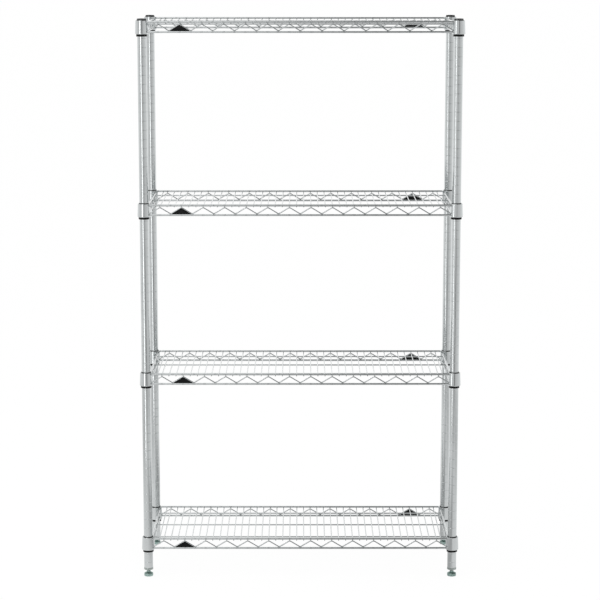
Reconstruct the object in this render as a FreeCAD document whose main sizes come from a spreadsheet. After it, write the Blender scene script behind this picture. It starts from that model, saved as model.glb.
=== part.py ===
import FreeCAD, Part
import math
import os
import Sketcher

# Wire shelving unit: four grooved posts and four welded wire shelves that wedge down on tapered split sleeves.
# Millimetres, origin on the floor under the middle of the unit, +X to the right, -Y to the front, +Z up.

SIZES = (
    ("post_diameter", 25.4, "outside of the post tube"),
    ("post_wall", 1.2, "wall of the post tube"),
    ("post_spacing_wide", 875, "post axis to post axis, left to right"),
    ("post_spacing_deep", 318, "post axis to post axis, front to rear"),
    ("groove_pitch", 25.4, "from one post groove to the next"),
    ("groove_width", 2, "groove at the tube's surface"),
    ("groove_depth", 0.6, "groove below the tube's surface"),
    ("groove_start", 17.3, "post's lower end to its first groove"),
    ("groove_end", 25.3, "last groove to the post's upper end"),
    ("lowest_groove", 2, "grooves under the bottom shelf's groove"),
    ("grooves_to_lower", 19, "bottom shelf to lower shelf"),
    ("grooves_to_upper", 19, "lower shelf to upper shelf"),
    ("grooves_to_top", 20, "upper shelf to top shelf"),
    ("cap_thickness", 3, "post cap above the post's end"),
    ("cap_edge", 1, "bevel round the cap's top"),
    ("cap_plug_length", 14, "plug inside the post"),
    ("cap_plug_wall", 1.6, "wall of the hollow plug"),
    ("cap_lead", 0.6, "bevel at the plug's tip"),
    ("cap_fit", 0.1, "plug to post bore"),
    ("foot_gap", 25.4, "floor to the post's lower end"),
    ("socket_flange", 6, "flange under the post's end"),
    ("flange_diameter", 26.2, "outside of the flange"),
    ("flange_edge", 0.4, "bevel of the flange's edges"),
    ("socket_length", 20, "socket inside the post"),
    ("socket_fit", 0.05, "socket to post bore"),
    ("stud_diameter", 8, "screw stud of the foot"),
    ("stud_length", 50, "stud above the hexagon"),
    ("stud_tip", 1, "bevel at the stud's tip"),
    ("stud_gap", 0.2, "stud to socket bore"),
    ("pad_diameter", 25.6, "foot pad"),
    ("pad_height", 8, "straight side of the pad"),
    ("pad_edge", 1, "bevel at the floor"),
    ("dome_height", 3, "sloping top of the pad"),
    ("dome_diameter", 14, "flat on top of the pad"),
    ("hex_across", 11, "wrench hexagon across its flats"),
    ("hex_height", 3.5, "wrench hexagon"),
    ("collar_height", 38, "corner collar"),
    ("collar_bottom_diameter", 37.4, "collar's outside at its lower end"),
    ("collar_top_diameter", 34.4, "collar's outside at its upper end"),
    ("collar_wall", 3.4, "collar's wall"),
    ("collar_lip", 2.2, "rounding of the collar's lower edge"),
    ("collar_edge", 0.8, "rounding of the collar's upper edge"),
    ("taper_gap", 0.15, "collar bore to sleeve"),
    ("sleeve_gap", 0.1, "sleeve bore to post"),
    ("sleeve_below", 6, "sleeve showing under the collar"),
    ("sleeve_edge", 1, "bevel at the sleeve's lower end"),
    ("sleeve_above", 1.8, "sleeve showing above the collar"),
    ("sleeve_split", 3, "degrees left open between the two half sleeves"),
    ("bead_height", 15, "collar's lower end to the bead inside the sleeve"),
    ("bead_gap", 0.15, "bead to the bottom of the groove"),
    ("rail_diameter", 5.6, "truss rails"),
    ("rail_drop", 4, "collar's upper end to the long top rails' axis"),
    ("truss_height", 27.5, "top rail to bottom rail"),
    ("truss_out", 10, "long trusses outside the post axes"),
    ("side_in", 11, "side trusses inside the post axes"),
    ("zigzag_diameter", 3.2, "zigzag wire"),
    ("zigzag_bend", 6, "bend radius of the zigzag's axis"),
    ("zigzag_count", 14, "peaks of a long truss"),
    ("zigzag_end", 15, "post axis to the long zigzag's end"),
    ("side_zigzag_count", 4, "peaks of a side truss"),
    ("side_zigzag_end", 15, "post axis to the side zigzag's end"),
    ("deck_diameter", 2.8, "deck wires"),
    ("deck_per_zigzag", 3, "deck wires for each zigzag peak"),
    ("deck_overhang", 2, "deck wire past the long trusses' middle"),
    ("end_wire_inset", 32.5, "post axis to the deck's end wire"),
    ("support_diameter", 4, "support wires under the deck"),
    ("support_inset", 45, "long truss to the nearest support wire"),
    ("support_overhang", 2, "support wire past the side trusses' middle"),
    ("weld_depth", 0.1, "crossing wires sink into each other by this"),
    ("badge_thickness", 3, "badge plate"),
    ("badge_fit", 0.05, "badge plate to the wires round it"),
    ("badge_corner", 0.6, "rounding of the plate's sharp corners"),
)

CORNERS = {
    "front_left": (-1, -1),
    "front_right": (1, -1),
    "rear_left": (-1, 1),
    "rear_right": (1, 1),
}

# Posts: axes, radii and the height of their lower end above the floor.
POST_X = "Sizes.post_spacing_wide / 2"
POST_Y = "Sizes.post_spacing_deep / 2"
POST_RADIUS = "Sizes.post_diameter / 2"
POST_BORE = f"({POST_RADIUS} - Sizes.post_wall)"
POST_BASE = "Sizes.foot_gap"

# Grooves are counted upwards from zero; the top shelf uses the highest one.
SHELF_GROOVES = {}
groove = "round(Sizes.lowest_groove)"
SHELF_GROOVES["bottom_shelf"] = groove
for shelf_name in ("lower", "upper", "top"):
    groove = f"{groove} + round(Sizes.grooves_to_{shelf_name})"
    SHELF_GROOVES[f"{shelf_name}_shelf"] = groove
TOP_GROOVE = f"({groove})"
POST_LENGTH = f"(Sizes.groove_start + {TOP_GROOVE} * Sizes.groove_pitch + Sizes.groove_end)"

# Long trusses and side trusses, in plan.
TRUSS_Y = f"({POST_Y} + Sizes.truss_out)"
SIDE_X = f"({POST_X} - Sizes.side_in)"
ZIGZAG_COUNT = "round(Sizes.zigzag_count)"
ZIGZAG_PITCH = f"((Sizes.post_spacing_wide - 2 * Sizes.zigzag_end) / {ZIGZAG_COUNT})"
SIDE_COUNT = "round(Sizes.side_zigzag_count)"
SIDE_PITCH = f"((Sizes.post_spacing_deep - 2 * Sizes.side_zigzag_end) / {SIDE_COUNT})"
DECK_PITCH = f"({ZIGZAG_PITCH} / round(Sizes.deck_per_zigzag))"
DECK_COUNT = f"(round(Sizes.deck_per_zigzag) * ({ZIGZAG_COUNT} - 1) + 1)"


def crossing(upper, lower):
    """Height between the axes of two crossing wires that are welded together."""
    return f"((Sizes.{upper}_diameter + Sizes.{lower}_diameter) / 2 - Sizes.weld_depth)"


# Wire heights above the collars' lower ends. The deck wires pass under the long top rails, the support wires
# under the deck, and the side top rails lie on the support wires' ends.
RAIL_Z = "(Sizes.collar_height - Sizes.rail_drop)"
BOTTOM_RAIL_Z = f"({RAIL_Z} - Sizes.truss_height)"
DECK_Z = f"({RAIL_Z} - {crossing('rail', 'deck')})"
SUPPORT_Z = f"({DECK_Z} - {crossing('deck', 'support')})"
SIDE_RAIL_Z = f"({SUPPORT_Z} + {crossing('support', 'rail')})"
PEAK_Z = f"({DECK_Z} - {crossing('deck', 'zigzag')})"
SIDE_PEAK_Z = f"({SIDE_RAIL_Z} - {crossing('rail', 'zigzag')})"
VALLEY_Z = f"({BOTTOM_RAIL_Z} + {crossing('zigzag', 'rail')})"

# Sketcher's numbers for the origin, the two axes and the points of an edge.
ORIGIN = -1
ACROSS_AXIS = -1
UP_AXIS = -2
START = 1
END = 2
CENTRE = 3

ALONG_X = FreeCAD.Rotation(FreeCAD.Vector(0, 1, 0), 90)
ALONG_Y = FreeCAD.Rotation(FreeCAD.Vector(1, 0, 0), -90)
QUARTER_TURN = FreeCAD.Rotation(FreeCAD.Vector(0, 0, 1), 90)
NORMAL = FreeCAD.Vector(0, 0, 1)

doc = FreeCAD.newDocument("WireShelvingUnit")
sheet = doc.addObject("Spreadsheet::Sheet", "Sizes")
for row, (alias, size, note) in enumerate(SIZES, start=1):
    sheet.set(f"A{row}", alias)
    sheet.set(f"B{row}", str(size))
    sheet.setAlias(f"B{row}", alias)
    sheet.set(f"C{row}", note)
doc.recompute()

nodes = []


def value(expression):
    """Present value of a sheet expression."""
    return float(sheet.evalExpression(expression))


def point(x, y):
    return FreeCAD.Vector(value(x), value(y), 0)


def node(piece, label):
    """Names a finished sub-part, which is then written to its own file."""
    piece.Label = label
    nodes.append(piece)
    return piece


def place(piece, x="0", y="0", z="0"):
    for axis, expression in (("x", x), ("y", y), ("z", z)):
        if expression != "0":
            piece.setExpression(f"Placement.Base.{axis}", expression)


def new_body(name):
    return doc.addObject("PartDesign::Body", name)


def origin_feature(body, role):
    return next(feature for feature in body.Origin.OriginFeatures if feature.Role == role)


def new_sketch(body, name, role):
    sketch = body.newObject("Sketcher::SketchObject", name)
    sketch.AttachmentSupport = (origin_feature(body, role), [""])
    sketch.MapMode = "FlatFace"
    return sketch


def fix(sketch, kind, *where, by):
    """Adds a dimension whose value is a sheet expression."""
    index = sketch.addConstraint(Sketcher.Constraint(kind, *where, value(by)))
    sketch.setExpression(f"Constraints[{index}]", by)


def tie(sketch, kind, *where):
    sketch.addConstraint(Sketcher.Constraint(kind, *where))


def pin(sketch, edge, end, x, y):
    """Holds one point of an edge at (x, y) from the sketch's origin."""
    for kind, axis, expression in (("DistanceX", UP_AXIS, x), ("DistanceY", ACROSS_AXIS, y)):
        if expression == "0":
            tie(sketch, "PointOnObject", edge, end, axis)
        else:
            fix(sketch, kind, ORIGIN, START, edge, end, by=expression)


def polygon(body, name, role, corners):
    """Closed sketch of straight edges, each corner held by two sheet expressions."""
    sketch = new_sketch(body, name, role)
    places = [point(x, y) for x, y in corners]
    count = len(places)
    for index in range(count):
        sketch.addGeometry(Part.LineSegment(places[index], places[(index + 1) % count]))
    for index in range(count):
        tie(sketch, "Coincident", index, END, (index + 1) % count, START)
    for index, (x, y) in enumerate(corners):
        pin(sketch, index, START, x, y)
    return sketch


def circles(body, name, role, diameter, centres):
    """Sketch of equal wire sections."""
    sketch = new_sketch(body, name, role)
    for index, (x, y) in enumerate(centres):
        sketch.addGeometry(Part.Circle(point(x, y), NORMAL, value(diameter) / 2))
        fix(sketch, "Diameter", index, by=diameter)
        pin(sketch, index, CENTRE, x, y)
    return sketch


def turn(body, kind, sketch, angle="360"):
    """Revolution or Groove about the body's upright axis."""
    feature = body.newObject(f"PartDesign::{kind}", f"{sketch.Name}_{kind}")
    feature.Profile = sketch
    feature.ReferenceAxis = (origin_feature(body, "Z_Axis"), [""])
    feature.setExpression("Angle", angle)
    return feature


def pad_both_ways(body, sketch, length):
    feature = body.newObject("PartDesign::Pad", f"{sketch.Name}_pad")
    feature.Profile = sketch
    feature.Midplane = True
    feature.setExpression("Length", length)
    return feature


def row_of(body, original, axis, step, count):
    """Straight pattern of one feature, which becomes the body's result."""
    pattern = body.newObject("PartDesign::LinearPattern", f"{original.Name}_row")
    pattern.Originals = [original]
    pattern.Direction = (origin_feature(body, axis), [""])
    pattern.setExpression("Length", f"{step} * ({count} - 1)")
    pattern.setExpression("Occurrences", count)
    body.Tip = pattern
    return pattern


def round_rim(body, ring, height, size):
    """Rounds the outer edge of a turned ring at one height."""
    doc.recompute()
    rims = [
        (edge.BoundBox.XLength, f"Edge{number}") for number, edge in enumerate(ring.Shape.Edges, start=1)
        if abs(edge.BoundBox.ZMin - value(height)) < 0.001 and edge.BoundBox.ZLength < 0.001
    ]
    rounded = body.newObject("PartDesign::Fillet", f"{ring.Name}_rim")
    rounded.Base = (ring, [max(rims)[1]])
    rounded.setExpression("Radius", size)
    return rounded


def at_four_posts(body):
    """Repeats a whole body, made round the front left post, at the other three posts."""
    pattern = body.newObject("PartDesign::LinearPattern", f"{body.Name}_corners")
    pattern.TransformMode = "Whole shape"
    pattern.Direction = (origin_feature(body, "X_Axis"), [""])
    pattern.Direction2 = (origin_feature(body, "Y_Axis"), [""])
    pattern.setExpression("Length", "Sizes.post_spacing_wide")
    pattern.setExpression("Length2", "Sizes.post_spacing_deep")
    pattern.Occurrences = 2
    pattern.Occurrences2 = 2
    body.Tip = pattern


def at_post(piece, corner, z):
    side_x, side_y = CORNERS[corner]
    place(piece, f"{side_x} * {POST_X}", f"{side_y} * {POST_Y}", z)


def build_post(corner):
    """Tube with a rolled groove every pitch, for the sleeves' beads."""
    body = new_body(f"post_{corner}")
    tube = polygon(body, "tube", "XZ_Plane", (
        (POST_BORE, "0"),
        (POST_RADIUS, "0"),
        (POST_RADIUS, POST_LENGTH),
        (POST_BORE, POST_LENGTH),
    ))
    turn(body, "Revolution", tube)
    doc.recompute()
    tube_volume = body.Shape.Volume
    notch = polygon(body, "notch", "XZ_Plane", (
        (f"{POST_RADIUS} - Sizes.groove_depth", "Sizes.groove_start"),
        (f"{POST_RADIUS} + Sizes.groove_depth", "Sizes.groove_start - Sizes.groove_width"),
        (f"{POST_RADIUS} + Sizes.groove_depth", "Sizes.groove_start + Sizes.groove_width"),
    ))
    first = turn(body, "Groove", notch)
    row_of(body, first, "Z_Axis", "Sizes.groove_pitch", f"({TOP_GROOVE} + 1)")
    doc.recompute()
    if body.Shape.Volume >= tube_volume:
        raise RuntimeError("the post's grooves cut nothing")
    at_post(body, corner, POST_BASE)
    node(body, f"post_{corner}")


def build_cap(corner):
    """Moulded disc with a hollow plug that is pushed into the post's upper end."""
    plug = f"({POST_BORE} - Sizes.cap_fit)"
    body = new_body(f"post_cap_{corner}")
    profile = polygon(body, "cap", "XZ_Plane", (
        ("0", "Sizes.cap_thickness"),
        (f"{POST_RADIUS} - Sizes.cap_edge", "Sizes.cap_thickness"),
        (POST_RADIUS, "Sizes.cap_thickness - Sizes.cap_edge"),
        (POST_RADIUS, "0"),
        (plug, "0"),
        (plug, "Sizes.cap_lead - Sizes.cap_plug_length"),
        (f"{plug} - Sizes.cap_lead", "-Sizes.cap_plug_length"),
        (f"{plug} - Sizes.cap_plug_wall", "-Sizes.cap_plug_length"),
        (f"{plug} - Sizes.cap_plug_wall", "0"),
        ("0", "0"),
    ))
    turn(body, "Revolution", profile)
    at_post(body, corner, f"{POST_BASE} + {POST_LENGTH}")
    node(body, f"post_cap_{corner}")


def build_socket(corner):
    """Flanged plug in the post's lower end, bored for the foot's stud."""
    bore = "(Sizes.stud_diameter / 2 + Sizes.stud_gap)"
    plug = f"({POST_BORE} - Sizes.socket_fit)"
    rim = "Sizes.flange_diameter / 2"
    low = "-Sizes.socket_flange"
    edge = "Sizes.flange_edge"
    body = new_body(f"foot_socket_{corner}")
    profile = polygon(body, "socket", "XZ_Plane", (
        (bore, low),
        (f"{rim} - {edge}", low),
        (rim, f"{low} + {edge}"),
        (rim, f"-{edge}"),
        (f"{rim} - {edge}", "0"),
        (plug, "0"),
        (plug, "Sizes.socket_length"),
        (bore, "Sizes.socket_length"),
    ))
    turn(body, "Revolution", profile)
    at_post(body, corner, POST_BASE)
    node(body, f"foot_socket_{corner}")


def build_foot(corner):
    """Levelling foot: pad with a sloping top, wrench hexagon and stud in one piece."""
    shoulder = "(Sizes.pad_height + Sizes.dome_height)"
    top = f"({shoulder} + Sizes.hex_height + Sizes.stud_length)"
    body = new_body(f"levelling_foot_{corner}")
    profile = polygon(body, "pad", "XZ_Plane", (
        ("0", "0"),
        ("Sizes.pad_diameter / 2 - Sizes.pad_edge", "0"),
        ("Sizes.pad_diameter / 2", "Sizes.pad_edge"),
        ("Sizes.pad_diameter / 2", "Sizes.pad_height"),
        ("Sizes.dome_diameter / 2", shoulder),
        ("Sizes.stud_diameter / 2", shoulder),
        ("Sizes.stud_diameter / 2", f"{top} - Sizes.stud_tip"),
        ("Sizes.stud_diameter / 2 - Sizes.stud_tip", top),
        ("0", top),
    ))
    turn(body, "Revolution", profile)
    flat = "Sizes.hex_across / 2"
    half_side = "Sizes.hex_across / (2 * sqrt(3))"
    point_out = "Sizes.hex_across / sqrt(3)"
    hexagon = polygon(body, "hexagon", "XY_Plane", (
        (flat, f"-{half_side}"),
        (flat, half_side),
        ("0", point_out),
        (f"-{flat}", half_side),
        (f"-{flat}", f"-{half_side}"),
        ("0", f"-{point_out}"),
    ))
    hexagon.setExpression("AttachmentOffset.Base.z", shoulder)
    wrench = body.newObject("PartDesign::Pad", "wrench_hexagon")
    wrench.Profile = hexagon
    wrench.setExpression("Length", "Sizes.hex_height")
    at_post(body, corner, "0")
    node(body, f"levelling_foot_{corner}")


def collar_radius(height):
    """Outside radius of the tapered collar at a height above its lower end."""
    narrowing = "(Sizes.collar_bottom_diameter - Sizes.collar_top_diameter) / Sizes.collar_height"
    return f"((Sizes.collar_bottom_diameter - {narrowing} * ({height})) / 2)"


def build_collars(shelf, level):
    """Four tapered rings that the shelf's rails are welded to."""
    top = "Sizes.collar_height"
    body = new_body(f"{shelf}_collars")
    profile = polygon(body, "collar", "XZ_Plane", (
        (f"{collar_radius('0')} - Sizes.collar_wall", "0"),
        (collar_radius("0"), "0"),
        (collar_radius(top), top),
        (f"{collar_radius(top)} - Sizes.collar_wall", top),
    ))
    ring = turn(body, "Revolution", profile)
    ring = round_rim(body, ring, "0", "Sizes.collar_lip")
    round_rim(body, ring, top, "Sizes.collar_edge")
    at_four_posts(body)
    at_post(body, "front_left", level)
    node(body, f"{shelf}_collars")


def build_sleeve(shelf, corner, level):
    """Two tapered half shells, clipped round a post with their bead in its groove."""
    bore = f"({POST_RADIUS} + Sizes.sleeve_gap)"
    top = "(Sizes.collar_height + Sizes.sleeve_above)"
    low = "-Sizes.sleeve_below"
    edge = "Sizes.sleeve_edge"
    bead_rise = "(Sizes.sleeve_gap + Sizes.groove_depth - Sizes.bead_gap)"
    half_bead = f"({bead_rise} * Sizes.groove_width / (2 * Sizes.groove_depth))"

    def outside(height):
        return f"{collar_radius(height)} - Sizes.collar_wall - Sizes.taper_gap"

    body = new_body(f"{shelf}_split_sleeve_{corner}")
    profile = polygon(body, "half_sleeve", "XZ_Plane", (
        (bore, low),
        (f"{outside(low)} - {edge}", low),
        (outside(f"{low} + {edge}"), f"{low} + {edge}"),
        (outside(top), top),
        (bore, top),
        (bore, f"Sizes.bead_height + {half_bead}"),
        (f"{bore} - {bead_rise}", "Sizes.bead_height"),
        (bore, f"Sizes.bead_height - {half_bead}"),
    ))
    half = turn(body, "Revolution", profile, "180 - Sizes.sleeve_split")
    pair = body.newObject("PartDesign::PolarPattern", "pair")
    pair.Originals = [half]
    pair.Axis = (origin_feature(body, "Z_Axis"), [""])
    pair.Angle = 360
    pair.Occurrences = 2
    body.Tip = pair
    at_post(body, corner, level)
    node(body, f"{shelf}_split_sleeve_{corner}")


def build_deck(shelf, level):
    """Deck wires from the front truss to the rear one, with one more at each end."""
    length = f"2 * ({TRUSS_Y} + Sizes.deck_overhang)"
    first_x = f"-{DECK_PITCH} * ({DECK_COUNT} - 1) / 2"
    end_x = f"({POST_X} - Sizes.end_wire_inset)"
    body = new_body(f"{shelf}_deck_wires")
    section = circles(body, "wire", "XZ_Plane", "Sizes.deck_diameter", ((first_x, DECK_Z),))
    wire = pad_both_ways(body, section, length)
    row_of(body, wire, "X_Axis", DECK_PITCH, DECK_COUNT)
    ends = circles(body, "end_wires", "XZ_Plane", "Sizes.deck_diameter",
                   ((f"-{end_x}", DECK_Z), (end_x, DECK_Z)))
    body.Tip = pad_both_ways(body, ends, length)
    place(body, z=level)
    node(body, f"{shelf}_deck_wires")


def build_supports(shelf, level):
    """Three wires under the deck, from one side truss to the other."""
    out = f"({TRUSS_Y} - Sizes.support_inset)"
    body = new_body(f"{shelf}_support_wires")
    sections = circles(body, "wires", "YZ_Plane", "Sizes.support_diameter",
                       ((f"-{out}", SUPPORT_Z), ("0", SUPPORT_Z), (out, SUPPORT_Z)))
    pad_both_ways(body, sections, f"2 * ({SIDE_X} + Sizes.support_overhang)")
    place(body, z=level)
    node(body, f"{shelf}_support_wires")


def leg_slope(pitch, peak, valley):
    """Angle of a zigzag's straight legs, which are tangent to its peak and valley bends."""
    bends = 2 * value("Sizes.zigzag_bend")
    rise = value(peak) - value(valley) - bends
    run = value(pitch) / 2
    return math.acos(-bends / math.hypot(run, rise)) - math.atan2(run, rise)


def bend(x, z, radius, first, last):
    return Part.ArcOfCircle(Part.Circle(FreeCAD.Vector(x, z, 0), NORMAL, radius), first, last)


def build_zigzag(name, pitch, count, peak):
    """One bent wire: a single peak swept along its own path, then repeated end to end."""
    radius = value("Sizes.zigzag_bend")
    slope = leg_slope(pitch, peak, VALLEY_Z)
    across = radius * math.sin(slope)
    down = radius * (1 - math.cos(slope))
    low = value(VALLEY_Z)
    high = value(peak)
    end = value(pitch)
    middle = end / 2
    right_angle = math.pi / 2
    body = new_body(name)
    path = new_sketch(body, "path", "XZ_Plane")
    rising, over, falling = 1, 2, 3
    edges = (
        bend(0, low + radius, radius, -right_angle, slope - right_angle),
        Part.LineSegment(FreeCAD.Vector(across, low + down, 0), FreeCAD.Vector(middle - across, high - down, 0)),
        bend(middle, high - radius, radius, right_angle - slope, right_angle + slope),
        Part.LineSegment(FreeCAD.Vector(middle + across, high - down, 0), FreeCAD.Vector(end - across, low + down, 0)),
        bend(end, low + radius, radius, -right_angle - slope, -right_angle),
    )
    first, last = 0, len(edges) - 1
    for edge in edges:
        path.addGeometry(edge)
    tie(path, "Tangent", first, END, rising, START)
    tie(path, "Tangent", rising, END, over, END)
    tie(path, "Tangent", over, START, falling, START)
    tie(path, "Tangent", falling, END, last, START)
    tie(path, "Equal", first, over)
    tie(path, "Equal", first, last)
    fix(path, "Radius", first, by="Sizes.zigzag_bend")
    pin(path, first, START, "0", VALLEY_Z)
    tie(path, "PointOnObject", first, CENTRE, UP_AXIS)
    pin(path, over, CENTRE, f"{pitch} / 2", f"{peak} - Sizes.zigzag_bend")
    pin(path, last, END, pitch, VALLEY_Z)
    fix(path, "DistanceX", ORIGIN, START, last, CENTRE, by=pitch)
    section = circles(body, "section", "YZ_Plane", "Sizes.zigzag_diameter", (("0", VALLEY_Z),))
    sweep = body.newObject("PartDesign::AdditivePipe", "peak")
    sweep.Profile = section
    sweep.Spine = (path, [f"Edge{number}" for number in range(1, len(edges) + 1)])
    row_of(body, sweep, "X_Axis", pitch, count)
    return body


def cope(name, wire, copes):
    """Cuts the ends of a wire to the collars' tapered outsides."""
    coped = doc.addObject("Part::Cut", name)
    coped.Base = wire
    coped.Tool = copes
    return coped


def coped_rail(name, rotation, length, copes, x, y, z):
    wire = doc.addObject("Part::Cylinder", f"{name}_wire")
    wire.setExpression("Radius", "Sizes.rail_diameter / 2")
    wire.setExpression("Height", length)
    wire.Placement.Rotation = rotation
    place(wire, x, y, z)
    return cope(name, wire, copes)


def collar_copes(shelf, level):
    """Solid cones of the collars' outside, which shape the ends of the rails and zigzags."""
    cones = []
    for corner in CORNERS:
        cone = doc.addObject("Part::Cone", f"{shelf}_cope_{corner}")
        cone.setExpression("Radius1", "Sizes.collar_bottom_diameter / 2")
        cone.setExpression("Radius2", "Sizes.collar_top_diameter / 2")
        cone.setExpression("Height", "Sizes.collar_height")
        at_post(cone, corner, level)
        cones.append(cone)
    copes = doc.addObject("Part::Compound", f"{shelf}_copes")
    copes.Links = cones
    return copes


def build_group(name, pieces):
    """Separate solids that share one node."""
    group = doc.addObject("Part::Compound", name)
    group.Links = pieces
    node(group, name)


def build_long_truss(shelf, side, direction, level, copes):
    """Front or rear truss: top rail over the deck wires, zigzag under them, bottom rail."""
    name = f"{shelf}_{side}_truss"
    across = f"{direction} * {TRUSS_Y}"
    rails = [
        coped_rail(f"{name}_{part}_rail", ALONG_X, "Sizes.post_spacing_wide", copes,
                   f"-{POST_X}", across, f"{level} + {height}")
        for part, height in (("top", RAIL_Z), ("bottom", BOTTOM_RAIL_Z))
    ]
    zigzag = build_zigzag(f"{name}_zigzag", ZIGZAG_PITCH, ZIGZAG_COUNT, PEAK_Z)
    place(zigzag, f"Sizes.zigzag_end - {POST_X}", across, level)
    build_group(name, rails + [cope(f"{name}_coped_zigzag", zigzag, copes)])


def side_truss(name, direction, level, copes):
    """Left or right truss, whose top rail lies on the support wires' ends."""
    across = f"{direction} * {SIDE_X}"
    rails = [
        coped_rail(f"{name}_{part}_rail", ALONG_Y, "Sizes.post_spacing_deep", copes,
                   across, f"-{POST_Y}", f"{level} + {height}")
        for part, height in (("top", SIDE_RAIL_Z), ("bottom", BOTTOM_RAIL_Z))
    ]
    zigzag = build_zigzag(f"{name}_zigzag", SIDE_PITCH, SIDE_COUNT, SIDE_PEAK_Z)
    zigzag.Placement.Rotation = QUARTER_TURN
    place(zigzag, across, f"Sizes.side_zigzag_end - {POST_Y}", level)
    return rails + [cope(f"{name}_coped_zigzag", zigzag, copes)]


def badge_plate(name, direction, level):
    """Plate that fills the space under the second zigzag peak, seen from outside on the left."""
    bend_radius = "Sizes.zigzag_bend"
    around = "(Sizes.zigzag_diameter / 2 + Sizes.badge_fit)"
    crown = f"({bend_radius} - {around})"
    hollow = f"({bend_radius} + {around})"
    crown_z = f"({PEAK_Z} - {bend_radius})"
    hollow_z = f"({VALLEY_Z} + {bend_radius})"
    base_z = f"({BOTTOM_RAIL_Z} + Sizes.rail_diameter / 2 + Sizes.badge_fit)"
    slope = leg_slope(ZIGZAG_PITCH, PEAK_Z, VALLEY_Z)
    right_angle = math.pi / 2
    shoulder_x = value(crown) * math.sin(slope)
    shoulder_z = value(crown_z) + value(crown) * math.cos(slope)
    base = value(base_z)
    base_x = shoulder_x + (shoulder_z - base) / math.tan(slope)
    body = new_body(name)
    outline = new_sketch(body, "outline", "XZ_Plane")
    top, right, bottom, left, right_bend, left_bend = range(6)
    outline.addGeometry(bend(0, value(crown_z), value(crown), right_angle - slope, right_angle + slope))
    corners = [FreeCAD.Vector(x, z, 0) for x, z in (
        (shoulder_x, shoulder_z), (base_x, base), (-base_x, base), (-shoulder_x, shoulder_z))]
    for start, end in zip(corners, corners[1:]):
        outline.addGeometry(Part.LineSegment(start, end))
    for edge, way in ((right_bend, ""), (left_bend, "-")):
        outline.addGeometry(Part.Circle(point(f"{way}{ZIGZAG_PITCH} / 2", hollow_z), NORMAL, value(hollow)), True)
        fix(outline, "Radius", edge, by=hollow)
        pin(outline, edge, CENTRE, f"{way}{ZIGZAG_PITCH} / 2", hollow_z)
    tie(outline, "Tangent", top, START, right, START)
    tie(outline, "Coincident", right, END, bottom, START)
    tie(outline, "Coincident", bottom, END, left, START)
    tie(outline, "Tangent", left, END, top, END)
    tie(outline, "Horizontal", bottom)
    tie(outline, "Tangent", right, right_bend)
    tie(outline, "Tangent", left, left_bend)
    fix(outline, "Radius", top, by=crown)
    pin(outline, top, CENTRE, "0", crown_z)
    fix(outline, "DistanceY", ORIGIN, START, bottom, START, by=base_z)
    plate = pad_both_ways(body, outline, "Sizes.badge_thickness")
    doc.recompute()
    corner_edges = [
        f"Edge{number}" for number, edge in enumerate(plate.Shape.Edges, start=1)
        if edge.Length < 2 * value("Sizes.badge_thickness") and edge.CenterOfMass.z < base + value(around)
    ]
    rounded = body.newObject("PartDesign::Fillet", "rounded_corners")
    rounded.Base = (plate, corner_edges)
    rounded.setExpression("Radius", "Sizes.badge_corner")
    second_peak = f"({ZIGZAG_COUNT} / 2 - 1.5) * {ZIGZAG_PITCH}"
    place(body, f"{direction} * {second_peak}", f"{direction} * {TRUSS_Y}", level)
    return body


def build_shelf(shelf):
    level = (f"({POST_BASE} + Sizes.groove_start + ({SHELF_GROOVES[shelf]}) * Sizes.groove_pitch"
             " - Sizes.bead_height)")
    copes = collar_copes(shelf, level)
    build_collars(shelf, level)
    for corner in CORNERS:
        build_sleeve(shelf, corner, level)
    build_deck(shelf, level)
    build_supports(shelf, level)
    for side, direction in (("front", -1), ("rear", 1)):
        build_long_truss(shelf, side, direction, level, copes)
    build_group(f"{shelf}_side_trusses", side_truss(f"{shelf}_left_truss", -1, level, copes)
                + side_truss(f"{shelf}_right_truss", 1, level, copes))
    build_group(f"{shelf}_badges", [badge_plate(f"{shelf}_front_badge", -1, level),
                                    badge_plate(f"{shelf}_rear_badge", 1, level)])


for corner in CORNERS:
    build_post(corner)
    build_cap(corner)
    build_socket(corner)
    build_foot(corner)
for shelf in SHELF_GROOVES:
    build_shelf(shelf)
doc.recompute()

for item in doc.Objects:
    if "Invalid" in item.State or "Error" in item.State:
        raise RuntimeError(f"{item.Label} failed to compute")
for piece in nodes:
    if piece.Shape.isNull() or not piece.Shape.isValid():
        raise RuntimeError(f"{piece.Label} has no valid shape")

os.makedirs("parts", exist_ok=True)
for piece in nodes:
    piece.Shape.exportStep(f"parts/{piece.Label}.step")
    print(piece.Label, len(piece.Shape.Solids), round(piece.Shape.Volume, 1))
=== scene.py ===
import math

import bmesh
import bpy
from mathutils import Matrix, Vector


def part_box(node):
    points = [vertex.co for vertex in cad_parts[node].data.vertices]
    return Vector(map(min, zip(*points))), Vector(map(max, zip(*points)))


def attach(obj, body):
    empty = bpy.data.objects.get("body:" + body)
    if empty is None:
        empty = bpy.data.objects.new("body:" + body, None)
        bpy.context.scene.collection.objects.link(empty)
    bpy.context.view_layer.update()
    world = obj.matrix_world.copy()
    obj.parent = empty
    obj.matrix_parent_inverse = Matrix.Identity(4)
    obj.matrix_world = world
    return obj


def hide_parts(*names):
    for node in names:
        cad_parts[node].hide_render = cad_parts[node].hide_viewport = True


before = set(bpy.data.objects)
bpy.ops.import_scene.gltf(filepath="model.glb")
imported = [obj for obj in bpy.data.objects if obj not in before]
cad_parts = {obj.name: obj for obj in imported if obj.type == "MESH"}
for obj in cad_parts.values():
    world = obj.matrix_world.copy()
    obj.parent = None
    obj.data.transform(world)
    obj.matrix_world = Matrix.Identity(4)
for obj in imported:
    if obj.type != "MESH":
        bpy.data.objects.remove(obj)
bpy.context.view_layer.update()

scene = bpy.context.scene

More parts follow.
